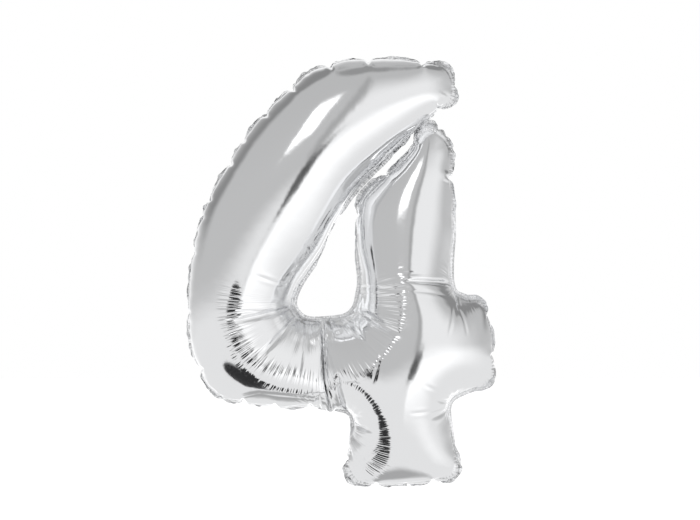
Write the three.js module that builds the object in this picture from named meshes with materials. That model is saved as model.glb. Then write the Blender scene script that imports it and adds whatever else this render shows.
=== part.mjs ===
// Foil balloon in the shape of the digit 4, filled. Millimetres, +Z up, the front faces -Y.
// Two equal foil sheets are sealed to each other along one seam. The seam is the edge of the digit, and it
// also runs up the channel between the slanted stroke and the stem, whose wide lower end is the window.
// Where the channel is narrowest the two strokes share a flat sealed web.
import * as THREE from "three";

const sheetThickness = 0.6; // the solids' wall; real foil is about 0.04
const sheetGap = 0.3; // between the two sheets along the seam, and between the tail's two films
const seamWidth = 6.5; // flat sealed strip outside the seam line
const fullness = 0.86; // 1 would give straight strokes a round section
const rimInset = 6; // first row of points inside the seam line
const seamStep = 14; // spacing of points along the seam
const fieldStep = 28; // spacing of points on the swollen sheets
const valve = { x: 108, width: 24, bottom: 13, length: 105, thickness: 0.4 };
const tail = { x: 108, width: 28, length: 80, bend: 115, startAngle: 8, drop: 1.2 };

// The seam line as [x, z], anticlockwise seen from the front, from the foot's lower left corner
const foot = [[21, 23], [108, 8], [204, 19], [203, 74], [196, 118], [193, 152]];
const shortArm = [[206, 166], [240, 170], [260, 185], [275, 229], [273, 270], [265, 307], [249, 327], [210, 340]];
const stemRight = [[198, 357], [198, 437], [200, 501], [194, 548], [191, 618]];
const stemTop = [[179, 640], [166, 652], [146, 648], [127, 628], [108, 600], [84, 580], [64, 552]];
const stemLeft = [[39, 528], [28, 500], [27, 464], [31, 400], [30, 363], [20, 335]];
const windowSill = [[-8, 314], [-43, 306], [-71, 312], [-87, 337], [-84, 363]];
const slantInner = [[-69, 388], [-40, 433], [-5, 478], [12, 508], [30, 536], [44, 562], [66, 594], [97, 638]];
const slantTip = [[127, 666], [160, 706], [188, 722], [198, 740], [194, 757], [167, 778]];
const slantTop = [[108, 788], [53, 787], [6, 779], [-30, 774], [-62, 757]];
const slantOuter = [[-95, 720], [-136, 670], [-175, 625], [-206, 562], [-240, 492], [-262, 429], [-277, 344]];
const heel = [[-274, 270], [-265, 226], [-250, 180], [-225, 160], [-188, 155]];
const crossbar = [[-114, 149], [-40, 145], [3, 139], [18, 126], [20, 104], [15, 74], [15, 48]];
const seam = [
  foot, shortArm, stemRight, stemTop, stemLeft, windowSill, slantInner, slantTip, slantTop, slantOuter, heel,
  crossbar,
].flat();

const foil = { color: 0xd9dbdd, metalness: 1, roughness: 0.12 };
const clearFilm = { color: 0xe8eaec, metalness: 0, roughness: 0.35 };

// Evenly spaced points on a smooth closed curve through the given ones
function smoothLoop(points, spacing) {
  const curve = new THREE.CatmullRomCurve3(points.map(([x, z]) => new THREE.Vector3(x, z, 0)), true);
  const count = Math.round(curve.getLength() / spacing);
  return curve.getSpacedPoints(count).slice(0, count).map((p) => [p.x, p.y]);
}

// The loop moved sideways by a distance, to the right of its direction of travel
function offsetLoop(loop, distance) {
  return loop.map(([x, z], i) => {
    const [ax, az] = loop.at(i - 1);
    const [bx, bz] = loop[(i + 1) % loop.length];
    const span = Math.hypot(bx - ax, bz - az);
    return [x + ((bz - az) / span) * distance, z - ((bx - ax) / span) * distance];
  });
}

function distanceToLoop([x, z], loop) {
  return Math.min(...loop.map(([ax, az], i) => {
    const [bx, bz] = loop[(i + 1) % loop.length];
    const [dx, dz] = [bx - ax, bz - az];
    const along = THREE.MathUtils.clamp(((x - ax) * dx + (z - az) * dz) / (dx * dx + dz * dz), 0, 1);
    return Math.hypot(ax + along * dx - x, az + along * dz - z);
  }));
}

// A point is inside where a ray from it crosses the loop an odd number of times
function isInside([x, z], loop) {
  return loop.filter(([ax, az], i) => {
    const [bx, bz] = loop[(i + 1) % loop.length];
    return az > z !== bz > z && x < ax + ((z - az) / (bz - az)) * (bx - ax);
  }).length % 2 === 1;
}

// Staggered rows of points, clear of the rows along the seam
function fieldPoints(loop) {
  const box = new THREE.Box2().setFromPoints(loop.map(([x, z]) => new THREE.Vector2(x, z)));
  const rowStep = (fieldStep * Math.sqrt(3)) / 2;
  const points = [];
  for (let row = 0; box.min.y + row * rowStep < box.max.y; row++) {
    for (let x = box.min.x + (row % 2) * (fieldStep / 2); x < box.max.x; x += fieldStep) {
      const point = [x, box.min.y + row * rowStep];
      if (isInside(point, loop) && distanceToLoop(point, loop) > rimInset + fieldStep * 0.45) points.push(point);
    }
  }
  return points;
}

// A triangle with its circumcircle
function circled(points, corners) {
  const [[ax, az], [bx, bz], [cx, cz]] = corners.map((i) => points[i]);
  const [ux, uz, vx, vz] = [bx - ax, bz - az, cx - ax, cz - az];
  const twice = 2 * (ux * vz - uz * vx);
  const x = (vz * (ux * ux + uz * uz) - uz * (vx * vx + vz * vz)) / twice;
  const z = (ux * (vx * vx + vz * vz) - vx * (ux * ux + uz * uz)) / twice;
  return { corners, x: ax + x, z: az + z, radius2: x * x + z * z };
}

// Delaunay triangles. Each new point removes the triangles whose circumcircle holds it, and is joined to the
// rim of the gap that they leave.
function triangulate(points) {
  const far = 1e5;
  const all = [...points, [-far, -far], [far, -far], [0, far]];
  let triangles = [circled(all, [points.length, points.length + 1, points.length + 2])];
  points.forEach(([x, z], added) => {
    const rim = new Map();
    triangles = triangles.filter((triangle) => {
      if ((x - triangle.x) ** 2 + (z - triangle.z) ** 2 > triangle.radius2) return true;
      triangle.corners.forEach((a, i) => {
        const b = triangle.corners[(i + 1) % 3];
        if (!rim.delete(`${b} ${a}`)) rim.set(`${a} ${b}`, [a, b]);
      });
      return false;
    });
    for (const [a, b] of rim.values()) triangles.push(circled(all, [a, b, added]));
  });
  return triangles.map((triangle) => triangle.corners).filter((corners) => Math.max(...corners) < points.length);
}

// Heights of a sheet under even pressure: u has the same curvature everywhere and is zero on the seam, and
// the square root of 2u is a half circle across a straight stroke
function swollenHeights(points, triangles, free) {
  const load = points.map(() => 0);
  const links = points.map(() => []);
  for (const corners of triangles) {
    corners.forEach((a, i) => {
      const [b, c] = [corners[(i + 1) % 3], corners[(i + 2) % 3]];
      const [ux, uz] = [points[b][0] - points[a][0], points[b][1] - points[a][1]];
      const [vx, vz] = [points[c][0] - points[a][0], points[c][1] - points[a][1]];
      const area = (ux * vz - uz * vx) / 2;
      const stiffness = (ux * vx + uz * vz) / (4 * area);
      load[a] += area / 3;
      links[b].push([c, stiffness]);
      links[c].push([b, stiffness]);
    });
  }
  const u = points.map(() => 0);
  for (let sweep = 0; sweep < 400; sweep++) {
    for (const i of free) {
      const pull = links[i].reduce((sum, [other, stiffness]) => sum + stiffness * u[other], load[i]);
      const total = links[i].reduce((sum, [, stiffness]) => sum + stiffness, 0);
      u[i] += 1.6 * (pull / total - u[i]);
    }
  }
  return u.map((value) => fullness * Math.sqrt(2 * Math.max(value, 0)));
}

// Points, triangles and heights of one sheet, laid out in the seam's plane
function layOutSheet() {
  const loop = smoothLoop(seam, seamStep);
  const rim = offsetLoop(loop, -rimInset).filter((point) => distanceToLoop(point, loop) > rimInset * 0.8);
  const strip = offsetLoop(loop, seamWidth).filter((point) => distanceToLoop(point, loop) > seamWidth * 0.9);
  const field = fieldPoints(loop);
  // A thousandth of a millimetre of unevenness keeps four points off one circle
  const points = [...loop, ...rim, ...field, ...strip].map(([x, z], i) => [
    x + 0.001 * Math.sin(12.9 * i), z + 0.001 * Math.sin(78.2 * i),
  ]);
  const swollen = loop.length + rim.length + field.length;
  const centre = (corners) => [0, 1].map((k) => corners.reduce((sum, i) => sum + points[i][k], 0) / 3);
  const triangles = triangulate(points).filter((corners) => {
    const at = centre(corners);
    return isInside(at, loop) || distanceToLoop(at, loop) < seamWidth * 0.85;
  });
  const inner = triangles.filter((corners) => Math.max(...corners) < swollen && isInside(centre(corners), loop));
  const free = points.map((_, i) => i).filter((i) => i >= loop.length && i < swollen);
  return { points, triangles, heights: swollenHeights(points, inner, free) };
}

// Directed edges that only one triangle uses
function openEdges(triangles) {
  const edges = new Map();
  for (const corners of triangles) {
    corners.forEach((a, i) => {
      const b = corners[(i + 1) % 3];
      if (!edges.delete(`${b} ${a}`)) edges.set(`${a} ${b}`, [a, b]);
    });
  }
  return [...edges.values()];
}

// One sheet as a thin shell. side is -1 for the front sheet and 1 for the back one.
function sheetGeometry({ points, triangles, heights }, side) {
  const outer = points.map(([x, z], i) => [x, side * (sheetGap / 2 + sheetThickness + heights[i]), z]).flat();
  const facing = side < 0 ? triangles : triangles.map(([a, b, c]) => [a, c, b]);
  const surface = new THREE.BufferGeometry();
  surface.setAttribute("position", new THREE.Float32BufferAttribute(outer, 3));
  surface.setIndex(facing.flat());
  surface.computeVertexNormals();
  const normals = surface.getAttribute("normal").array;
  const inner = outer.map((value, i) => value - sheetThickness * normals[i]);
  const count = points.length;
  const walls = openEdges(facing).flatMap(([a, b]) => [[b, a, a + count], [b, a + count, b + count]]);
  const lining = facing.map(([a, b, c]) => [c + count, b + count, a + count]);
  const shell = new THREE.BufferGeometry();
  shell.setAttribute("position", new THREE.Float32BufferAttribute([...outer, ...inner], 3));
  shell.setIndex([...facing, ...lining, ...walls].flat());
  return shell;
}

// One of the tail's two films: a strip bent along an arc, from the fold under the foot back and upwards
function tailGeometry(nearRadius) {
  const start = THREE.MathUtils.degToRad(tail.startAngle - 90);
  const end = start + tail.length / tail.bend;
  const farRadius = nearRadius + sheetThickness;
  const profile = new THREE.Shape();
  profile.absarc(0, 0, farRadius, start, end, false);
  profile.absarc(0, 0, nearRadius, end, start, true);
  profile.closePath();
  const strip = new THREE.ExtrudeGeometry(profile, { depth: tail.width, bevelEnabled: false, curveSegments: 10 });
  const [x, y, z] = [new THREE.Vector3(1, 0, 0), new THREE.Vector3(0, 1, 0), new THREE.Vector3(0, 0, 1)];
  strip.applyMatrix4(new THREE.Matrix4().makeBasis(y, z, x));
  const seamBottom = Math.min(...seam.map((point) => point[1])) - seamWidth;
  const foldZ = seamBottom - tail.drop - sheetThickness - sheetGap / 2;
  strip.translate(tail.x - tail.width / 2, -tail.bend * Math.cos(start), foldZ - tail.bend * Math.sin(start));
  return strip;
}

function piece(name, geometry, look) {
  const mesh = new THREE.Mesh(geometry, new THREE.MeshStandardMaterial(look));
  mesh.name = name;
  return mesh;
}

// One of the two clear films of the self-closing valve, which lie against each other above the tail
function valveFilm(name, side) {
  const film = piece(name, new THREE.BoxGeometry(valve.width, valve.thickness, valve.length), clearFilm);
  film.position.set(valve.x, (side * (sheetGap + valve.thickness)) / 2, valve.bottom + valve.length / 2);
  return film;
}

const sheet = layOutSheet();
const balloon = new THREE.Group();
balloon.add(
  piece("front_panel", sheetGeometry(sheet, -1), foil),
  piece("back_panel", sheetGeometry(sheet, 1), foil),
  piece("tail_front_film", tailGeometry(tail.bend + sheetGap / 2), foil),
  piece("tail_back_film", tailGeometry(tail.bend - sheetGap / 2 - sheetThickness), foil),
  valveFilm("valve_front_film", -1),
  valveFilm("valve_back_film", 1),
);

// The origin is the middle of the base
const bounds = new THREE.Box3().setFromObject(balloon, true);
balloon.position.set(-(bounds.min.x + bounds.max.x) / 2, -(bounds.min.y + bounds.max.y) / 2, -bounds.min.z);

export default balloon;
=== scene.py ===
# Filled foil balloon, digit 4: cut flat, sealed along the seam, filled by a small simulation, then finished.
import math
import bpy
import numpy as np
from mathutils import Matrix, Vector
from mathutils.geometry import delaunay_2d_cdt


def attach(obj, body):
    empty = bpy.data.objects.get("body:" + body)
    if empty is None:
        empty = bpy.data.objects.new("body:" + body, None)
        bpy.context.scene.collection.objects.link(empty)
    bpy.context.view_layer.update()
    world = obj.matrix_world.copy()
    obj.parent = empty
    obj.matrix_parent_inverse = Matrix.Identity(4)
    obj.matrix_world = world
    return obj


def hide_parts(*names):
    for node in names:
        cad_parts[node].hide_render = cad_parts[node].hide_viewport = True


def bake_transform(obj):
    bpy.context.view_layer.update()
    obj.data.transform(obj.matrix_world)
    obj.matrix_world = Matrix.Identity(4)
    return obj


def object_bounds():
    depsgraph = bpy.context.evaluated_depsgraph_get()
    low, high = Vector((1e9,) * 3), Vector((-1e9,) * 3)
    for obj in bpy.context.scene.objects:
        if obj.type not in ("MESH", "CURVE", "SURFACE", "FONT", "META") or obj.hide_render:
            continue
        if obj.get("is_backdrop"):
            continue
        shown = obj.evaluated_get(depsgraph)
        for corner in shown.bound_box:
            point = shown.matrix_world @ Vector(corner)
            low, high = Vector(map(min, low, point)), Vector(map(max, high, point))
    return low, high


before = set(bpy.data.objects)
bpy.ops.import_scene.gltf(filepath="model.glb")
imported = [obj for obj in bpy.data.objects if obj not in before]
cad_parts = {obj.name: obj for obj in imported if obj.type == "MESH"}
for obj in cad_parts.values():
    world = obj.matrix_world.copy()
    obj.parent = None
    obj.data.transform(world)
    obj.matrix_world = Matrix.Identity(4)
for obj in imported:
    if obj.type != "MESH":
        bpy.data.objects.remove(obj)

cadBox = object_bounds()

# The seam line on the flat sheets, as (x, z) in metres in the frame. Filling draws it in by about a quarter
# of each stroke's width, so the window is only a slim slit here.
cut = {
    "foot": [(0.016, -0.038), (0.115, -0.061), (0.228, -0.043), (0.253, 0.042), (0.263, 0.093)],
    "shortArm": [(0.293, 0.116), (0.333, 0.148), (0.345, 0.228), (0.331, 0.306), (0.300, 0.332)],
    "stemRight": [(0.285, 0.354), (0.285, 0.455), (0.279, 0.548)],
    "stemTop": [(0.262, 0.619), (0.225, 0.657), (0.188, 0.655), (0.151, 0.617), (0.087, 0.561)],
    "stemLeft": [(0.053, 0.514), (0.038, 0.444), (0.032, 0.365)],
    "windowSill": [(0.014, 0.320), (-0.042, 0.311), (-0.066, 0.343)],
    "slantInner": [(-0.017, 0.420), (0.022, 0.494), (0.052, 0.548), (0.112, 0.624)],
    "slantTip": [(0.174, 0.709), (0.201, 0.757), (0.176, 0.823)],
    "slantTop": [(0.086, 0.851), (-0.036, 0.848), (-0.137, 0.802)],
    "slantOuter": [(-0.240, 0.692), (-0.309, 0.558), (-0.336, 0.433), (-0.337, 0.303)],
    "heel": [(-0.307, 0.198), (-0.246, 0.141)],
    "crossbar": [(-0.151, 0.114), (-0.058, 0.104), (-0.010, 0.085), (-0.006, 0.037)],
    "spacing": 0.010,   # between points of the first, coarse sheets
    "strip": 0.006,     # width of the sealed strip outside the seam
    "webAt": (0.064, 0.551),
    "webReach": 0.023,  # the two strokes are sealed to each other this far round webAt
}

# Steps and pressure for each level. A level that halves starts with twice as many points along every edge.
filling = [
    {"steps": 400, "pressure": 2e-5},
    {"steps": 1000, "pressure": 3e-6},
    {"steps": 1000, "pressure": 1.5e-6, "halve": True},
    {"steps": 320, "pressure": 0.8e-6, "halve": True},
]
stiffness = {
    "links": 2.8,        # how hard links pull back to their flat length, shared among a point's links
    "bends": 2,
    "unfold": 0.075,     # how fast a sharp fold opens
    "shortLink": 0.3,    # a link that is too short pushes only this much: foil buckles
    "keepSpeed": 0.98,
    "webPull": 0.45,
    "webGap": 0.001,
    "smallestShare": 0.3,   # the least area a point counts with, as a share of the usual
    "startBulge": 0.095,
    "startNoise": 0.0005,
    "seed": 3,
}


# Closed curve through the points (uniform Catmull-Rom), at even spacing along it
def smoothLoop(points, spacing):
    p = np.array(points, float)
    a, b, c, d = (np.roll(p, k, 0)[:, None] for k in (1, 0, -1, -2))
    t = np.linspace(0, 1, 24, endpoint=False)[None, :, None]
    dense = (0.5 * (2 * b + (c - a) * t + (2 * a - 5 * b + 4 * c - d) * t**2
                    + (3 * b - a - 3 * c + d) * t**3)).reshape(-1, 2)
    dense = np.vstack([dense, dense[:1]])
    way = np.concatenate([[0], np.cumsum(np.linalg.norm(np.diff(dense, axis=0), axis=1))])
    at = np.arange(round(way[-1] / spacing)) * way[-1] / round(way[-1] / spacing)
    return np.stack([np.interp(at, way, dense[:, k]) for k in (0, 1)], 1)


# For each point: distance to the loop, and how far along the loop its nearest place is
def nearestOnLoop(points, loop):
    side = np.roll(loop, -1, 0) - loop
    length = np.linalg.norm(side, axis=1)
    start = np.concatenate([[0], np.cumsum(length)[:-1]])
    distance, along = np.empty(len(points)), np.empty(len(points))
    for k in range(0, len(points), 4000):
        to = points[k:k + 4000, None] - loop
        t = np.clip((to * side).sum(-1) / length**2, 0, 1)
        d = np.linalg.norm(to - t[..., None] * side, axis=-1)
        best = d.argmin(1)[:, None]
        distance[k:k + 4000] = np.take_along_axis(d, best, 1)[:, 0]
        along[k:k + 4000] = (start + t * length)[np.arange(len(to)), best[:, 0]]
    return distance, along


# A point is inside where a ray from it crosses the loop an odd number of times
def insideLoop(points, loop):
    x, z = points[:, :1], points[:, 1:]
    a, b = loop, np.roll(loop, -1, 0)
    spans = (a[:, 1] > z) != (b[:, 1] > z)
    rise = np.where(a[:, 1] == b[:, 1], 1, b[:, 1] - a[:, 1])
    return (spans & (x < a[:, 0] + (b[:, 0] - a[:, 0]) * (z - a[:, 1]) / rise)).sum(1) % 2 == 1


# Flat sheet: the loop's points first, then staggered rows inside it, joined by Delaunay triangles
def cutSheet(loop, spacing):
    low, high = loop.min(0), loop.max(0)
    rowStep = spacing * math.sqrt(3) / 2
    row, column = np.mgrid[0:int((high - low)[1] / rowStep) + 1, 0:int((high - low)[0] / spacing) + 2]
    grid = np.stack([low[0] + (column + row % 2 / 2) * spacing, low[1] + row * rowStep], -1)
    grid = grid.reshape(-1, 2)
    grid = grid[insideLoop(grid, loop)]
    grid = grid[nearestOnLoop(grid, loop)[0] > 0.62 * spacing]
    n = len(loop)
    made = delaunay_2d_cdt([Vector(p) for p in np.vstack([loop, grid])],
                           [(k, (k + 1) % n) for k in range(n)], [list(range(n))], 1, 1e-9)
    flat, faces = np.array([tuple(p) for p in made[0]]), np.array(made[2])
    a, b, c = (flat[faces[:, k]] for k in range(3))
    clockwise = np.cross(b - a, c - a) < 0
    faces[clockwise] = faces[clockwise][:, ::-1]
    return flat, faces


# Each pair of points once
def uniquePairs(pairs):
    return np.unique(np.sort(pairs, 1), axis=0)


# The two corners that face each other across every inner edge
def acrossEdges(faces):
    edges = np.sort(np.concatenate([faces[:, [0, 1]], faces[:, [1, 2]], faces[:, [2, 0]]]), 1)
    corner = np.concatenate([faces[:, 2], faces[:, 0], faces[:, 1]])
    order = np.lexsort((edges[:, 1], edges[:, 0]))
    edges, corner = edges[order], corner[order]
    same = (edges[1:] == edges[:-1]).all(1)
    return np.stack([corner[:-1][same], corner[1:][same]], 1)


# Two sheets that share the seam, and the sealed strip outside it. The points are the front sheet's, then the
# back sheet's inner ones, then the strip's two rows.
def sealSheets(flat, faces, seamCount):
    n, seam = len(flat), np.arange(seamCount)
    loop = flat[:seamCount]
    way = np.roll(loop, -1, 0) - np.roll(loop, 1, 0)
    outward = np.stack([way[:, 1], -way[:, 0]], 1) / np.linalg.norm(way, axis=1)[:, None]
    backOf = np.concatenate([seam, np.arange(n, 2 * n - seamCount)])
    rows = [seam] + [2 * n - seamCount + k * seamCount + seam for k in (0, 1)]
    quads = np.concatenate([np.stack([a, b, np.roll(b, -1), np.roll(a, -1)], 1)
                            for a, b in zip(rows, rows[1:])])
    back = backOf[faces][:, ::-1]
    allFlat = np.vstack([flat, flat[seamCount:]]
                        + [loop + outward * cut["strip"] * k / 2 for k in (1, 2)])
    links = uniquePairs(np.concatenate(
        [sheet[:, pair] for sheet in (faces, back) for pair in ([0, 1], [1, 2], [2, 0])]
        + [quads[:, pair] for pair in ([0, 1], [1, 2], [0, 2], [1, 3])]))
    bends = np.concatenate([acrossEdges(faces), acrossEdges(back)]
                           + [np.stack([row, np.roll(row, -2)], 1) for row in rows])
    length = lambda pairs: np.linalg.norm(allFlat[pairs[:, 0]] - allFlat[pairs[:, 1]], axis=1)
    return {"flat": allFlat, "faces": faces, "front": faces, "back": back, "quads": quads, "rows": rows,
            "backOf": backOf, "seamCount": seamCount, "sheetCount": n,
            "links": links, "linkLength": length(links), "bends": bends, "bendLength": length(bends)}


# Every triangle becomes four, in the flat and in space alike
def halveSpacing(balloon, place):
    n, m, faces = balloon["sheetCount"], balloon["seamCount"], balloon["faces"]
    edges = uniquePairs(np.concatenate([faces[:, [0, 1]], faces[:, [1, 2]], faces[:, [2, 0]]]))
    code = edges[:, 0] * n + edges[:, 1]
    middle = lambda a, b: n + np.searchsorted(code, np.minimum(a, b) * n + np.maximum(a, b))
    a, b, c = faces.T
    ab, bc, ca = middle(a, b), middle(b, c), middle(c, a)
    finer = np.concatenate([np.stack(corners, 1)
                            for corners in ((a, ab, ca), (ab, b, bc), (ca, bc, c), (ab, bc, ca))])
    seam = np.arange(m)
    loop = np.stack([seam, middle(seam, (seam + 1) % m)], 1).ravel()
    order = np.concatenate([loop, np.setdiff1d(np.arange(n + len(edges)), loop)])
    newNumber = np.empty(len(order), int)
    newNumber[order] = np.arange(len(order))
    grown = lambda values: np.vstack([values, (values[edges[:, 0]] + values[edges[:, 1]]) / 2])[order]
    finerBalloon = sealSheets(grown(balloon["flat"][:n]), newNumber[finer], 2 * m)
    sheets = [grown(place[:n]), grown(place[balloon["backOf"]])[2 * m:]]
    strip = [np.stack([line, (line + np.roll(line, -1, 0)) / 2], 1).reshape(-1, 3)
             for line in (place[row] for row in balloon["rows"][1:])]
    return finerBalloon, np.vstack(sheets + strip).astype(np.float32)


# Places along the strip's rim that face each other across the channel near webAt
def webPairs(balloon):
    m = balloon["seamCount"]
    near = np.nonzero(np.linalg.norm(balloon["flat"][:m] - cut["webAt"], axis=1) < cut["webReach"])[0]
    turn = np.nonzero(np.diff(near) > 1)[0][0] + 1
    one, other = near[:turn], near[turn:][::-1]
    count = min(len(one), len(other))
    rim = balloon["rows"][-1]
    return rim[one[:count]], rim[other[:count]]


# Adds up values, one for each pair, at the pairs' ends: plus at the first and minus at the second
def gather(pairs, values, count):
    return np.stack([np.bincount(pairs[:, 0], values[:, k], count)
                     - np.bincount(pairs[:, 1], values[:, k], count) for k in range(3)], 1).astype(np.float32)


# Adds up values, one for each triangle, at its three corners
def atCorners(faces, values, count):
    return sum(np.bincount(faces[:, k], values, count) for k in range(3))


# Foil hardly stretches. Each step moves every point by the gas's push, then pulls each link back to its flat
# length (short links give way more easily, which is how foil buckles), and opens sharp folds.
def fill(balloon, place, steps, pressure):
    flat, n = balloon["flat"], len(place)
    links, bends = balloon["links"], balloon["bends"]
    linkLength, bendLength = (balloon[k].astype(np.float32) for k in ("linkLength", "bendLength"))
    share = lambda pairs, pull: (pull / np.maximum(np.bincount(pairs.ravel(), minlength=n), 1)
                                 ).astype(np.float32)[:, None]
    shareLink, shareBend = share(links, stiffness["links"]), share(bends, stiffness["bends"])
    webOne, webOther = webPairs(balloon)
    faces = np.concatenate([balloon["front"], balloon["back"]])
    a, b, c = (flat[faces[:, k]] for k in range(3))
    area = atCorners(faces, np.abs(np.cross(b - a, c - a)) / 6, n)
    usual = np.median(area[area > 0])
    area = np.maximum(np.where(area == 0, usual, area), stiffness["smallestShare"] * usual)
    weight = (pressure / area).astype(np.float32)[:, None]
    speed = np.zeros_like(place)
    for step in range(steps):
        if step % 3 == 0:
            a, b, c = (place[faces[:, k]] for k in range(3))
            push = np.cross(b - a, c - a) / 6
            force = np.stack([atCorners(faces, push[:, axis], n) for axis in range(3)], 1)
            force = force.astype(np.float32) * weight
        speed = (speed + force) * stiffness["keepSpeed"]
        moved = place + speed
        across = moved[links[:, 1]] - moved[links[:, 0]]
        length = np.sqrt(np.einsum("ij,ij->i", across, across))
        excess = (length - linkLength) / np.maximum(length, 1e-9) / 2
        excess = np.where(excess < 0, stiffness["shortLink"] * excess, excess)
        moved += gather(links, across * excess[:, None], n) * shareLink
        across = moved[bends[:, 1]] - moved[bends[:, 0]]
        length = np.sqrt(np.einsum("ij,ij->i", across, across))
        excess = np.minimum((length - bendLength) / np.maximum(length, 1e-9), 0) * stiffness["unfold"]
        moved += gather(bends, across * excess[:, None], n) * shareBend
        across = moved[webOther] - moved[webOne]
        length = np.linalg.norm(across, axis=1)
        excess = np.maximum(length - stiffness["webGap"], 0) / np.maximum(length, 1e-9)
        across *= (excess * stiffness["webPull"])[:, None]
        moved[webOne] += across
        moved[webOther] -= across
        speed = moved - place
        if step % 10 == 0:  # no drift and no spin as a whole
            speed -= speed.mean(0)
            arm = moved - moved.mean(0)
            inertia = np.eye(3) * (arm * arm).sum() - arm.T @ arm
            spin = np.linalg.solve(inertia, np.cross(arm, speed).sum(0))[None]
            speed -= np.cross(spin, arm).astype(np.float32)
        place = moved
    return place


# The filled balloon: its sheets and where every point of them has come to lie
def fillBalloon():
    outline = [p for part in cut.values() if isinstance(part, list) for p in part]
    loop = smoothLoop(outline, cut["spacing"])
    flat, faces = cutSheet(loop, cut["spacing"])
    balloon = sealSheets(flat, faces, len(loop))
    n, m = balloon["sheetCount"], balloon["seamCount"]
    place = np.zeros((len(balloon["flat"]), 3), np.float32)
    place[:, [0, 2]] = balloon["flat"]
    bulge = stiffness["startBulge"] * np.sqrt(nearestOnLoop(flat[m:], loop)[0])
    place[m:n, 1] = -bulge
    place[n:2 * n - m, 1] = bulge
    rng = np.random.default_rng(stiffness["seed"])
    place[:, 1] += rng.normal(0, stiffness["startNoise"], len(place))
    for level in filling:
        if level.get("halve"):
            balloon, place = halveSpacing(balloon, place)
        place = fill(balloon, place, level["steps"], level["pressure"])
        print(f"filled: {len(balloon['faces'])} triangles a sheet, {np.ptp(place, axis=0).round(3)} m")
    middle = (place.min(0) + place.max(0)) / 2
    place += (np.array(cadBox).mean(0) - middle).astype(np.float32)
    return balloon, place


# How the foil is gathered. Places are (x, z) on the flat sheets, in metres.
panel = {
    "layer": 0.00012,     # half the distance between the two foils along the sealed strip
    "pleats": [           # puckers across the seam: width, height, and how far they reach into the sheet
        {"width": 0.0045, "height": 0.00045, "reach": 0.013},
        {"width": 0.0090, "height": 0.00070, "reach": 0.014},
        {"width": 0.0150, "height": 0.00095, "reach": 0.024},
        {"width": 0.0300, "height": 0.00120, "reach": 0.042},
    ],
    "stripRipple": 0.0015,
    "rimFold": {"inset": 0.019, "width": 0.0036, "depth": 0.0010},
    "tight": [            # stretches of seam that are gathered harder: from, to, reach, how much
        ((0.066, 0.556), (0.172, 0.705), 0.030, 1.3),
        ((0.060, 0.530), (0.150, 0.622), 0.024, 1.3),
        ((-0.062, 0.345), (0.030, 0.365), 0.045, 0.8),
        ((-0.040, 0.390), (0.040, 0.530), 0.022, 0.7),
        ((-0.336, 0.430), (-0.307, 0.200), 0.028, 0.7),
    ],
    # Gathers that fan out where a stroke bends. Facing and spread are in degrees; from, fade, to, ring and edge
    # are radii; fine is how much of the finest pleats shows.
    "fans": [
        {"at": (-0.040, 0.346), "facing": -90, "spread": 108, "from": 0.040, "fade": 0.184, "to": 0.200,
         "wrinkles": 120, "height": 0.0006, "puffs": 15, "puff": 0.0024, "ring": 0.086,
         "edge": 0.192, "drop": 0.0024, "fine": 1.0},
        {"at": (-0.022, 0.062), "facing": 42, "spread": 105, "from": 0.020, "fade": 0.122, "to": 0.136,
         "wrinkles": 84, "height": 0.00028, "puffs": 12, "puff": 0.0016, "ring": 0.066,
         "edge": 0.132, "drop": 0.0004, "fine": 0.5},
        {"at": (0.283, 0.090), "facing": 135, "spread": 90, "from": 0.008, "fade": 0.030, "to": 0.070,
         "wrinkles": 24, "height": 0.00045, "puffs": 9, "puff": 0.0005, "ring": 0.030,
         "edge": 0.060, "drop": 0.0008, "fine": 0.8},
        {"at": (0.301, 0.354), "facing": 225, "spread": 90, "from": 0.008, "fade": 0.035, "to": 0.085,
         "wrinkles": 24, "height": 0.00050, "puffs": 9, "puff": 0.0005, "ring": 0.032,
         "edge": 0.070, "drop": 0.0008, "fine": 0.8},
    ],
    "creases": [          # single sharp creases: from, to
        ((0.034, 0.362), (0.147, 0.337)), ((0.147, 0.337), (0.250, 0.318)),
        ((-0.165, 0.404), (-0.112, 0.384)), ((-0.197, 0.339), (-0.115, 0.333)),
        ((-0.173, 0.240), (-0.105, 0.296)), ((-0.078, 0.267), (-0.099, 0.203)),
        ((-0.013, 0.262), (-0.022, 0.125)), ((0.081, 0.172), (0.099, 0.228)),
        ((0.020, 0.095), (0.079, 0.109)), ((0.174, 0.161), (0.250, 0.115)),
        ((0.145, 0.114), (0.234, 0.103)), ((0.246, 0.303), (0.220, 0.247)),
        ((0.261, 0.306), (0.259, 0.246)), ((0.020, -0.010), (0.088, 0.050)),
        ((-0.256, 0.166), (-0.176, 0.182)), ((-0.176, 0.182), (-0.030, 0.140)),
    ],
    "crease": {"width": 0.0022, "depth": 0.0008},
    "seeds": {"front_panel": 11, "back_panel": 12, "strip": 13},
}


# Unit normals of the points of a triangle mesh
def pointNormals(place, faces):
    a, b, c = (place[faces[:, k]] for k in range(3))
    face = np.cross(b - a, c - a)
    total = np.stack([atCorners(faces, face[:, axis], len(place)) for axis in range(3)], 1)
    return total / np.maximum(np.linalg.norm(total, axis=1), 1e-12)[:, None]


# 0 before start, 1 after stop, and a smooth S between them
def smoothStep(value, start, stop):
    t = np.clip((value - start) / (stop - start), 0, 1)
    return t * t * (3 - 2 * t)


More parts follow.
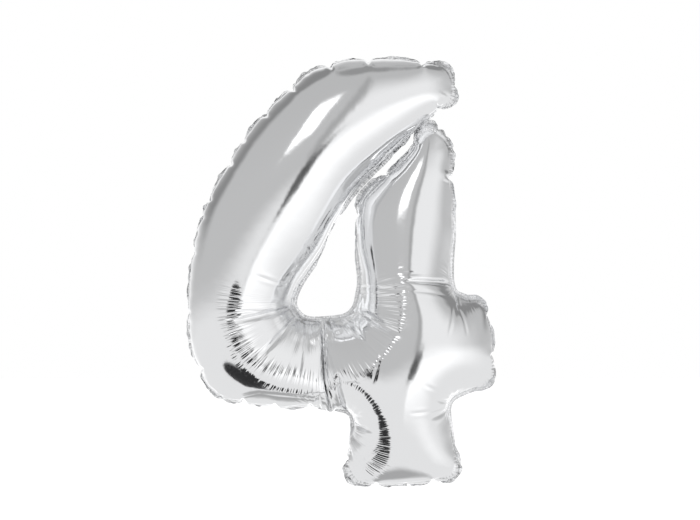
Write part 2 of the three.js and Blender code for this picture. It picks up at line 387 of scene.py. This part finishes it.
# Smooth random heights on a grid that closes on itself along u: a lattice of random numbers with smooth
# steps between them
def wavyNoise(u, v, cells, rng):
    rows = int(np.max(v)) + 2
    lattice = rng.uniform(-1, 1, (rows + 1, cells))
    column, row = np.floor(u).astype(int), np.clip(np.floor(v).astype(int), 0, rows - 1)
    s, t = smoothStep(u - column, 0, 1), smoothStep(v - row, 0, 1)
    corner = lambda i, j: lattice[row + i, (column + j) % cells]
    low = corner(0, 0) * (1 - s) + corner(0, 1) * s
    high = corner(1, 0) * (1 - s) + corner(1, 1) * s
    return low * (1 - t) + high * t


# Distance from each point to a straight line between two places, and how far along it, from 0 to 1
def toSegment(points, start, end):
    start, way = np.array(start), np.array(end) - start
    share = np.clip((points - start) @ way / (way @ way), 0, 1)
    return np.linalg.norm(points - start - share[:, None] * way, axis=1), share


# How much the seam has drawn in near each of its points, over 6 cm of it: 0 on a stretch that stays straight
def seamSqueeze(balloon, place):
    m = balloon["seamCount"]
    flat, filled = balloon["flat"][:m], place[:m]
    half = round(0.03 / np.linalg.norm(flat[1] - flat[0]))
    chord = lambda line: np.linalg.norm(np.roll(line, -half, 0) - np.roll(line, half, 0), axis=1)
    squeeze = np.clip((1 - chord(filled) / chord(flat)) / 0.16, 0, 1)
    return np.convolve(np.tile(squeeze, 3), np.full(half, 1 / half), "same")[m:2 * m]


# Pleats across the seam: for each kind, noise that is narrow along the seam and long across it. It starts
# at nothing on the seam, is highest at a third of its reach, and dies out. A shallow fold runs inside them.
def pleatHeights(along, inset, squeeze, total, rng):
    height = np.zeros(len(along))
    for pleat in panel["pleats"]:
        cells = round(total / pleat["width"])
        depth = inset / pleat["reach"]
        noise = wavyNoise(along / total * cells, np.minimum(depth * 1.2, 8), cells, rng)
        height += pleat["height"] * noise * depth * np.exp(1 - 3 * depth) * 3
    fold, cells = panel["rimFold"], round(total / 0.045)
    sway = wavyNoise(along / total * cells, np.zeros(len(along)), cells, rng)
    height -= fold["depth"] * np.exp(-((inset - fold["inset"] * (1 + 0.25 * sway)) / fold["width"])**2)
    return height * (0.25 + squeeze)


# Where each point lies in a fan: its turn from the fan's middle in radians, its radius, how much the fan
# counts there, and how wrinkled it is: most at its edge and round its ring, least between them
def fanWays(flat, fan):
    to = flat - np.array(fan["at"])
    radius = np.linalg.norm(to, axis=1)
    turn = np.arctan2(to[:, 1], to[:, 0]) - math.radians(fan["facing"])
    turn = (turn + math.pi) % (2 * math.pi) - math.pi
    spread = math.radians(fan["spread"])
    mask = (smoothStep(radius, fan["from"], fan["from"] + 0.012)
            * (1 - smoothStep(radius, fan["fade"], fan["to"]))
            * (1 - smoothStep(abs(turn), 0.75 * spread, spread)))
    atEdge = smoothStep(radius, 0.70 * fan["edge"], 0.92 * fan["edge"])
    atRing = 1 - smoothStep(radius, 0.9 * fan["ring"], 1.4 * fan["ring"])
    return turn, radius, mask, np.clip(0.18 + 0.85 * atEdge + 0.40 * atRing, 0, 1)


# Wrinkles of a fan: noise narrow round it and long outwards. Inside its ring arched puffs meet in sharp
# valleys. At the fan's edge the foil bends over a ridge and falls away inwards.
def fanHeights(flat, fan, rng):
    turn, radius, mask, rough = fanWays(flat, fan)
    circuit = turn / (2 * math.pi)
    cells = fan["wrinkles"]
    wrinkles = wavyNoise(circuit % 1 * cells, radius / 0.045, cells, rng)
    wrinkles += 0.5 * wavyNoise(circuit % 1 * cells * 2, radius / 0.030, 2 * cells, rng)
    uneven = wavyNoise(circuit % 1 * fan["puffs"], radius / 0.08, fan["puffs"], rng)
    share = (circuit * fan["puffs"] + 0.22 * uneven) % 1
    arch = np.sqrt(4 * share * (1 - share))
    ring = fan["ring"] * (0.90 + 0.10 * arch)
    inside = (smoothStep(radius, fan["from"] - 0.01, 0.6 * fan["ring"])
              * (1 - smoothStep(radius, ring - 0.006, ring + 0.012)))
    fall = 1 - np.exp(-(np.maximum(fan["edge"] * (1 + 0.02 * wrinkles) - radius, 0) / 0.020)**1.5)
    wrinkles *= rough * radius / fan["edge"]
    return mask * (fan["height"] * wrinkles + fan["puff"] * arch * inside - fan["drop"] * fall)


# Creases: a valley across each line, sharpest halfway along it
def creaseHeights(flat, rng, loose):
    height = np.zeros(len(flat))
    width, depth = panel["crease"]["width"], panel["crease"]["depth"]
    for start, end in panel["creases"]:
        start, end = np.array(start) + rng.normal(0, loose, 2), np.array(end) + rng.normal(0, loose, 2)
        distance, share = toSegment(flat, start, end)
        taper = np.sin(np.pi * np.clip(share, 0.02, 0.98))**0.5
        height -= depth * taper * np.exp(-(distance / width)**2)
        height += 0.35 * depth * taper * np.exp(-((distance - 2.6 * width) / (1.8 * width))**2)
    return height


# A mesh object with smooth faces, UV maps and point values
def meshObject(name, points, faces, maps, values):
    mesh = bpy.data.meshes.new(name)
    mesh.from_pydata(points.astype(float), [], faces.tolist())
    corners = np.empty(len(mesh.loops), int)
    mesh.loops.foreach_get("vertex_index", corners)
    for key, (ways, total) in maps.items():
        uv = ways[corners].astype(float)
        if total:
            first = np.repeat(uv[::faces.shape[1], 0], faces.shape[1])
            uv[:, 0] -= np.round((uv[:, 0] - first) / total) * total
        mesh.uv_layers.new(name=key).data.foreach_set("uv", uv.ravel())
    for key, value in values.items():
        mesh.attributes.new(key, "FLOAT", "POINT").data.foreach_set("value", value)
    mesh.shade_smooth()
    piece = bpy.data.objects.new(name, mesh)
    bpy.context.collection.objects.link(piece)
    return piece


# One foil sheet with its half of the sealed strip. Both sheets meet along the strip's rim.
def makePanel(name, balloon, place, seamWays):
    n, m, rows = balloon["sheetCount"], balloon["seamCount"], balloon["rows"]
    back = name == "back_panel"
    numbers = balloon["backOf"] if back else np.arange(n)
    used = np.concatenate([numbers, rows[1], rows[2]])
    renumber = np.zeros(len(place), int)
    renumber[used] = np.arange(len(used))
    quads = renumber[balloon["quads"][:, ::-1] if back else balloon["quads"]]
    faces = balloon["faces"][:, ::-1] if back else balloon["faces"]
    triangles = np.concatenate([faces, quads[:, :3], quads[:, [0, 2, 3]]])
    points = place[used].astype(float)
    normals = pointNormals(points, triangles)

    loop = balloon["flat"][:m]
    flat = np.vstack([balloon["flat"][:n], loop, loop])
    inset, along, total = seamWays
    seamAlong = along[:m]
    along = np.concatenate([along, seamAlong, seamAlong])
    inset = np.concatenate([inset, np.full(m, -cut["strip"] / 2), np.full(m, -cut["strip"])])
    squeeze = np.interp(along, seamAlong, seamSqueeze(balloon, place), period=total)
    for start, end, reach, amount in panel["tight"]:
        distance = toSegment(flat, start, end)[0]
        squeeze = np.maximum(squeeze, amount * (1 - smoothStep(distance, 0.6 * reach, 1.6 * reach)))

    rng = np.random.default_rng(panel["seeds"][name])
    height = pleatHeights(along, np.maximum(inset, 0), squeeze, total, rng)
    height += creaseHeights(flat, rng, 0.008 if back else 0) * smoothStep(inset, 0, 0.012)
    fanArc, fanRadius, fanMask, fanRough = np.zeros((4, len(flat)))
    for fan in panel["fans"]:
        height += fanHeights(flat, fan, rng) * smoothStep(inset, 0, 0.010)
        turn, radius, mask, rough = fanWays(flat, fan)
        fanArc = np.where(mask > fanMask, turn * fan["edge"], fanArc)
        fanRadius = np.where(mask > fanMask, radius, fanRadius)
        fanRough = np.where(mask > fanMask, mask * rough * fan["fine"], fanRough)
        fanMask = np.maximum(fanMask, mask)

    cells = round(total / 0.0095)
    ripple = wavyNoise(along / total * cells, np.zeros(len(along)), cells,
                       np.random.default_rng(panel["seeds"]["strip"]))
    atStrip = np.clip(1 - inset / 0.006, 0, 1)
    sideways = atStrip * panel["stripRipple"] * ripple * (0.3 + squeeze) * (-1 if back else 1)
    layer = np.where(inset < -0.75 * cut["strip"], 0, atStrip) * panel["layer"]
    points += normals * (height + layer + sideways)[:, None]
    piece = meshObject(name + "_foil", points, triangles,
                       {"seamWays": (np.stack([along, inset], 1), total),
                        "fanWays": (np.stack([fanArc, fanRadius], 1), 0)},
                       {"squeeze": squeeze, "inset": inset, "fan": fanRough})
    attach(piece, "envelope")
    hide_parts(name)
    return piece


balloon, place = fillBalloon()
rim = balloon["flat"][:balloon["seamCount"]:2]
seamWays = (*nearestOnLoop(balloon["flat"][:balloon["sheetCount"]], rim),
            np.linalg.norm(np.roll(rim, -1, 0) - rim, axis=1).sum())
panels = [makePanel(name, balloon, place, seamWays) for name in ("front_panel", "back_panel")]
print("panels made")
# Filling tail: two films sealed at both sides, folded behind the foot. Lengths in metres, turns in degrees.
tail = {
    "middle": 0.109,
    "wide": 0.0268,
    "lowest": 0.0010,      # height of the fold's middle line
    "hidden": 0.0060,      # how far it reaches up between the two sheets
    "long": 0.0785,
    "radius": 0.115,       # it curls up along the foot's back
    "startTurn": 8,
    "thick": 0.00032,      # half of it, at the middle
    "mouth": 0.007,
    "wrinkles": 0.00045,
    "across": 48,
    "rings": 96,
    "seed": 21,
}


# Middle line of the tail as y and z for each distance along it: down out of the seam, round a tight fold, and
# then along an arc. The turn of the line is summed into places.
def tailLine(along):
    fine = np.linspace(-tail["hidden"], tail["long"], 2000)
    start = math.radians(tail["startTurn"])
    turn = -math.pi / 2 + (math.pi / 2 + start) * smoothStep(fine, -0.0008, 0.0008)
    turn += np.maximum(fine, 0) / tail["radius"]
    step = fine[1] - fine[0]
    y, z = np.cumsum(np.cos(turn)) * step, np.cumsum(np.sin(turn)) * step
    z += tail["lowest"] - z.min()
    return tuple(np.interp(along, fine, line) for line in (y, z, turn))


# Closed skin lofted along the line. Each ring is a flat tube; the last rings go back inside as the mouth.
def makeTail():
    across, count = tail["across"], tail["rings"]
    outside = np.linspace(-tail["hidden"], tail["long"], count)
    inside = tail["long"] - np.array([0.0, 0.25, 1.0]) * tail["mouth"]
    along = np.concatenate([outside, inside])
    fullness = np.concatenate([np.ones(count), [0.62, 0.5, 0.12]])
    ring = np.arange(2 * across) * math.pi / across
    side = np.cos(ring)[None] * (tail["wide"] / 2 - 0.0004 * (1 - fullness)[:, None])
    y, z, turn = tailLine(along)
    loose = smoothStep(along, 0.004, 0.020)
    rng = np.random.default_rng(tail["seed"])
    u, v = (side + tail["wide"] / 2) / 0.0065, np.repeat(along[:, None] + tail["hidden"], 2 * across, 1)
    wave = wavyNoise(u.ravel(), v.ravel() / 0.017, 64, rng)
    wave += 0.5 * wavyNoise(2 * u.ravel(), v.ravel() / 0.009, 64, rng)
    lift = tail["wrinkles"] * wave.reshape(u.shape) * loose[:, None]
    skin = np.sign(np.sin(ring)) * np.abs(np.sin(ring))**0.6 * tail["thick"]
    lift += skin * ((0.25 + 0.75 * loose) * fullness)[:, None]
    points = np.stack([tail["middle"] + side, y[:, None] - np.sin(turn)[:, None] * lift,
                       z[:, None] + np.cos(turn)[:, None] * lift], 2).reshape(-1, 3)
    rows, columns = np.meshgrid(np.arange(len(along) - 1), np.arange(2 * across), indexing="ij")
    here, there = rows * 2 * across, (rows + 1) * 2 * across
    right = (columns + 1) % (2 * across)
    quads = np.stack([here + columns, there + columns, there + right, here + right], 2).reshape(-1, 4)
    ends = np.arange(across - 1)
    first = np.stack([ends + 1, ends, 2 * across - 1 - ends, (2 * across - 2 - ends)], 1)
    last = first[:, ::-1] + (len(along) - 1) * 2 * across
    faces = np.concatenate([quads, first, last])
    inset = 0.011 - np.abs(side).ravel()
    piece = meshObject("filling_tail", points, faces,
                       {"seamWays": (np.stack([side.ravel(), v.ravel()], 1), 0)},
                       {"squeeze": np.full(len(points), 0.2), "inset": inset, "fan": np.zeros(len(points))})
    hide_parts("tail_front_film", "tail_back_film")
    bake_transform(piece)
    return piece


tailPiece = makeTail()
print("tail made")


# A new material, its Principled shader and its node tree
def newMaterial(name):
    material = bpy.data.materials.new(name)
    material.use_nodes = True
    return material, material.node_tree.nodes["Principled BSDF"], material.node_tree


# A node with its settings, its fixed inputs and its links in
def addNode(tree, kind, settings=None, values=None, links=None):
    node = tree.nodes.new(kind)
    for key, value in (settings or {}).items():
        setattr(node, key, value)
    for key, value in (values or {}).items():
        node.inputs[key].default_value = value
    for key, socket in (links or {}).items():
        tree.links.new(socket, node.inputs[key])
    return node


# A math node from numbers and sockets
def mathNode(tree, operation, *operands):
    node = addNode(tree, "ShaderNodeMath", {"operation": operation})
    for k, operand in enumerate(operands):
        if isinstance(operand, (int, float)):
            node.inputs[k].default_value = operand
        else:
            tree.links.new(operand, node.inputs[k])
    return node.outputs[0]


# Pitch is pleats for each metre along the seam or round a fan; depths and insets are in metres
foil = {
    "colour": (0.86, 0.865, 0.875, 1),
    "roughness": (0.07, 0.13),
    "seamPleats": {"pitch": 250, "reach": 24, "depth": 0.0030, "inset": (0.026, 0.004), "least": 0.15},
    "fanPleats": {"pitch": 230, "reach": 9, "depth": 0.0012},
    "crinkle": {"scale": 42, "depth": 0.00025},
    "sealGrain": {"scale": 520, "depth": 0.0004},
}


# Node group: height of fine pleats, which are narrow along u and long along v of the ways it is given
def pleatGroup():
    tree = bpy.data.node_groups.new("finePleats", "ShaderNodeTree")
    tree.interface.new_socket("Ways", in_out="INPUT", socket_type="NodeSocketVector")
    tree.interface.new_socket("Pitch", in_out="INPUT", socket_type="NodeSocketFloat")
    tree.interface.new_socket("Reach", in_out="INPUT", socket_type="NodeSocketFloat")
    tree.interface.new_socket("Height", in_out="OUTPUT", socket_type="NodeSocketFloat")
    given, result = addNode(tree, "NodeGroupInput"), addNode(tree, "NodeGroupOutput")
    u, v, w = addNode(tree, "ShaderNodeSeparateXYZ", links={"Vector": given.outputs["Ways"]}).outputs
    heights = []
    for finer in (1, 2.1):
        across = mathNode(tree, "MULTIPLY", mathNode(tree, "MULTIPLY", u, given.outputs["Pitch"]), finer)
        inwards = mathNode(tree, "MULTIPLY", v, given.outputs["Reach"])
        ways = addNode(tree, "ShaderNodeCombineXYZ", links={"X": across, "Y": inwards})
        heights.append(addNode(tree, "ShaderNodeTexNoise", {"noise_dimensions": "2D"},
                               {"Scale": 1, "Detail": 0}, {"Vector": ways.outputs["Vector"]}).outputs["Fac"])
    tree.links.new(mathNode(tree, "MULTIPLY_ADD", heights[1], 0.4, heights[0]), result.inputs["Height"])
    return tree


# A node that stands for a node group, with its own values
def addGroup(tree, group, values=None, links=None):
    return addNode(tree, "ShaderNodeGroup", {"node_tree": group}, values, links)


# Normals tilted by the slope of a height in metres, on top of the normals given
def bumpNode(tree, height, distance, normal=None):
    return addNode(tree, "ShaderNodeBump", {}, {"Strength": 1, "Distance": distance},
                   {"Height": height, **({"Normal": normal} if normal else {})}).outputs["Normal"]


# A number kept at the mesh's points
def pointValue(tree, name):
    return addNode(tree, "ShaderNodeAttribute", {"attribute_name": name}).outputs["Fac"]


# A smooth step from low to high while the value goes from start to stop
def ramp(tree, value, start, stop, low=0.0, high=1.0):
    return addNode(tree, "ShaderNodeMapRange", {"interpolation_type": "SMOOTHSTEP"},
                   {"From Min": start, "From Max": stop, "To Min": low, "To Max": high},
                   {"Value": value}).outputs["Result"]


# Silver foil: a mirror with fine pleats near the seam and in the fans, faint crinkle, and a grained seal
def foilMaterial():
    material, shader, tree = newMaterial("silverFoil")
    shader.inputs["Metallic"].default_value = 1
    shader.inputs["Base Color"].default_value = foil["colour"]
    finePleats = pleatGroup()
    squeeze, inset, fan = (pointValue(tree, name) for name in ("squeeze", "inset", "fan"))
    seamWays, fanWays = (addNode(tree, "ShaderNodeUVMap", {"uv_map": name}).outputs["UV"]
                         for name in ("seamWays", "fanWays"))
    place = addNode(tree, "ShaderNodeTexCoord").outputs["Object"]

    spec = foil["crinkle"]
    crinkle = addNode(tree, "ShaderNodeTexNoise", {},
                      {"Scale": spec["scale"], "Detail": 3, "Roughness": 0.4},
                      {"Vector": place}).outputs["Fac"]
    normal = bumpNode(tree, crinkle, spec["depth"])

    spec = foil["seamPleats"]
    pleats = addGroup(tree, finePleats, {"Pitch": spec["pitch"], "Reach": spec["reach"]},
                      {"Ways": seamWays}).outputs[0]
    gathered = mathNode(tree, "MULTIPLY_ADD", squeeze, 1 - spec["least"], spec["least"])
    near = mathNode(tree, "MULTIPLY", ramp(tree, inset, *spec["inset"]), gathered)
    normal = bumpNode(tree, mathNode(tree, "MULTIPLY", pleats, near), spec["depth"], normal)

    spec = foil["fanPleats"]
    pleats = addGroup(tree, finePleats, {"Pitch": spec["pitch"], "Reach": spec["reach"]},
                      {"Ways": fanWays}).outputs[0]
    normal = bumpNode(tree, mathNode(tree, "MULTIPLY", pleats, fan), spec["depth"], normal)

    spec = foil["sealGrain"]
    sealed = ramp(tree, inset, 0.0005, -0.0005)
    grain = addNode(tree, "ShaderNodeTexNoise", {}, {"Scale": spec["scale"], "Detail": 2},
                    {"Vector": place}).outputs["Fac"]
    normal = bumpNode(tree, mathNode(tree, "MULTIPLY", grain, sealed), spec["depth"], normal)
    tree.links.new(normal, shader.inputs["Normal"])

    low, high = foil["roughness"]
    worn = mathNode(tree, "MULTIPLY_ADD", crinkle, high - low, low)
    tree.links.new(mathNode(tree, "MULTIPLY_ADD", sealed, 0.06, worn), shader.inputs["Roughness"])
    return material


foilSkin = foilMaterial()
for piece in panels:
    piece.data.materials.append(foilSkin)

tailPiece.data.materials.append(foilSkin)
film = {
    "colour": (0.88, 0.91, 0.93, 1),
    "roughness": (0.12, 0.3),
    "clear": 0.85,
    "waves": {"scale": 60, "depth": 0.0006},
}


# Clear film of the valve: see-through, with soft waves
def filmMaterial():
    material, shader, tree = newMaterial("clearFilm")
    shader.inputs["Base Color"].default_value = film["colour"]
    shader.inputs["Transmission Weight"].default_value = film["clear"]
    place = addNode(tree, "ShaderNodeTexCoord").outputs["Object"]
    waves = addNode(tree, "ShaderNodeTexNoise", {}, {"Scale": film["waves"]["scale"], "Detail": 2},
                    {"Vector": place}).outputs["Fac"]
    tree.links.new(bumpNode(tree, waves, film["waves"]["depth"]), shader.inputs["Normal"])
    low, high = film["roughness"]
    tree.links.new(mathNode(tree, "MULTIPLY_ADD", waves, high - low, low), shader.inputs["Roughness"])
    return material


filmSkin = filmMaterial()
for name in ("valve_front_film", "valve_back_film"):
    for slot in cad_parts[name].material_slots:
        slot.material = filmSkin
print("materials made")


# Studio: white floor and backdrop, a grey ceiling, a window on the right and a softbox on the left for the
# foil to mirror. Ways round the object are in degrees from its front, positive to the right, and heights too.
studio = {
    "floor": {"height": -0.35, "halfSide": 9, "colour": (0.9, 0.9, 0.9), "glow": 0.66},
    "camera": {"at": (0.0167, -3.597, 0.4193), "lens": 100},
    "darkCards": [       # centre and half sides
        ((-0.36, -0.42, -0.35), (0.34, 0, 0), (0, 0, 0.32)),
        ((-0.20, -0.42, 0.235), (0.084, 0, -0.076), (0.038, 0, 0.042)),
    ],
    "ceiling": 0.55,
    "wall": 0.58,
    "ground": 0.88,
    "backdropLeft": {"ways": (-181, -180.5, -165, -118), "heights": (-40, -25, 30, 60), "light": 0.45},
    "backdropRight": {"ways": (140, 160, 180.5, 181), "heights": (-40, -25, 30, 60), "light": 0.45},
    "window": {"ways": (11, 17, 50, 95), "heights": (-40, -16, 20, 65), "light": 0.36},
    "softbox": {"ways": (-26, -22, -8, -4), "heights": (19, 25, 40, 50), "light": 1.2},
    "shades": [  # darker things in the room: how much of the light each takes away
        {"ways": (7, 11, 17, 22), "heights": (-15, -11, -4, 7), "takes": 0.88},
        {"ways": (-165, -145, -115, -95), "heights": (5, 20, 66, 76), "takes": 0.5},
        {"ways": (95, 115, 145, 165), "heights": (5, 20, 66, 76), "takes": 0.5},
        {"ways": (-200, -199, 199, 200), "heights": (-91, -90.5, -80, -66), "takes": 0.5},
        {"ways": (-200, -199, 199, 200), "heights": (74, 82, 90.5, 91), "takes": 0.4},
        {"ways": (3, 9, 10, 17), "heights": (-4, 8, 55, 75), "takes": 0.25},
    ],
}


# A wall of light or shade in the world shader: 1 between the two middle limits and 0 outside the outer two,
# for the way round and the height alike
def patch(tree, way, height, ways, heights):
    sides = [ramp(tree, value, start, stop) for value, (a, b, c, d) in ((way, ways), (height, heights))
             for start, stop in ((a, b), (d, c))]
    product = sides[0]
    for side in sides[1:]:
        product = mathNode(tree, "MULTIPLY", product, side)
    return product


# World light by direction: grey ceiling above, pale ground below, then the lit and the dark patches. The
# camera sees plain white instead.
def studioWorld():
    world = bpy.data.worlds.new("studio")
    world.use_nodes = True
    tree = world.node_tree
    look = addNode(tree, "ShaderNodeTexCoord").outputs["Generated"]
    x, y, z = addNode(tree, "ShaderNodeSeparateXYZ", links={"Vector": look}).outputs
    way = mathNode(tree, "DEGREES", mathNode(tree, "ARCTAN2", x, mathNode(tree, "MULTIPLY", y, -1)))
    height = mathNode(tree, "DEGREES", mathNode(tree, "ARCSINE", z))
    light = mathNode(tree, "ADD", ramp(tree, height, -12, 4, studio["ground"], studio["wall"]),
                     ramp(tree, height, 15, 60, 0, studio["ceiling"] - studio["wall"]))
    for name in ("window", "softbox", "backdropLeft", "backdropRight"):
        lit = studio[name]
        area = patch(tree, way, height, lit["ways"], lit["heights"])
        light = mathNode(tree, "MULTIPLY_ADD", area, lit["light"], light)
    for shade in studio["shades"]:
        area = patch(tree, way, height, shade["ways"], shade["heights"])
        left = mathNode(tree, "MULTIPLY_ADD", area, -shade["takes"], 1.0)
        light = mathNode(tree, "MULTIPLY", light, left)
    seen = addNode(tree, "ShaderNodeLightPath").outputs["Is Camera Ray"]
    light = addNode(tree, "ShaderNodeMix", {"data_type": "FLOAT"}, {"B": 1.0},
                    {"Factor": seen, "A": light}).outputs["Result"]
    background = tree.nodes["Background"]
    tree.links.new(light, background.inputs["Color"])
    return world


bpy.context.scene.world = studioWorld()
bpy.context.scene.view_settings.view_transform = "Standard"


# Matt material with some light of its own
def plainMaterial(name, colour, glow=0):
    material, shader, tree = newMaterial(name)
    shader.inputs["Base Color"].default_value = (*colour, 1)
    shader.inputs["Roughness"].default_value = 0.85
    shader.inputs["Emission Color"].default_value = (*colour, 1)
    shader.inputs["Emission Strength"].default_value = glow
    return material


# A flat card on the stage, from its centre and its half sides
def card(name, centre, across, up, material):
    c, a, u = (np.array(v, float) for v in (centre, across, up))
    mesh = bpy.data.meshes.new(name)
    mesh.from_pydata([c - a - u, c + a - u, c + a + u, c - a + u], [], [(0, 1, 2, 3)])
    mesh.materials.append(material)
    piece = bpy.data.objects.new(name, mesh)
    bpy.context.collection.objects.link(piece)
    piece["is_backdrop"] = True
    return piece


# Dark felt that fades out towards an oval edge: the oval's radius is 1 where the card's sides are
def feltMaterial(centre, across, up):
    material, shader, tree = newMaterial("darkFelt")
    shader.inputs["Base Color"].default_value = (0.015, 0.015, 0.016, 1)
    shader.inputs["Roughness"].default_value = 0.9
    place = addNode(tree, "ShaderNodeTexCoord").outputs["Object"]
    offset = addNode(tree, "ShaderNodeVectorMath", {"operation": "SUBTRACT"},
                     {1: centre}, {0: place}).outputs[0]
    squares = []
    for half in (np.array(across), np.array(up)):
        share = addNode(tree, "ShaderNodeVectorMath", {"operation": "DOT_PRODUCT"},
                        {1: half / (half @ half)}, {0: offset}).outputs["Value"]
        squares.append(mathNode(tree, "POWER", mathNode(tree, "ABSOLUTE", share), 2))
    radius = mathNode(tree, "SQRT", mathNode(tree, "ADD", *squares))
    tree.links.new(ramp(tree, radius, 1, 0.86), shader.inputs["Alpha"])
    return material


spec = studio["floor"]
floor = card("floor", (0, 0, spec["height"]), (spec["halfSide"], 0, 0), (0, spec["halfSide"], 0),
             plainMaterial("paleFloor", spec["colour"], spec["glow"]))
floor.visible_glossy = False
for k, sides in enumerate(studio["darkCards"]):
    darkCard = card(f"darkCard{k}", *sides, feltMaterial(*sides))
    darkCard.visible_camera = False
    darkCard.visible_diffuse = False
    darkCard.visible_shadow = False

camera = bpy.data.objects.new("camera", bpy.data.cameras.new("camera"))
camera.data.lens = studio["camera"]["lens"]
camera.location = studio["camera"]["at"]
camera.rotation_euler = (math.pi / 2, 0, 0)
bpy.context.collection.objects.link(camera)
bpy.context.scene.camera = camera
print("studio made")

{"cad": [list(corner) for corner in cadBox], "visual": [list(corner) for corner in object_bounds()]}
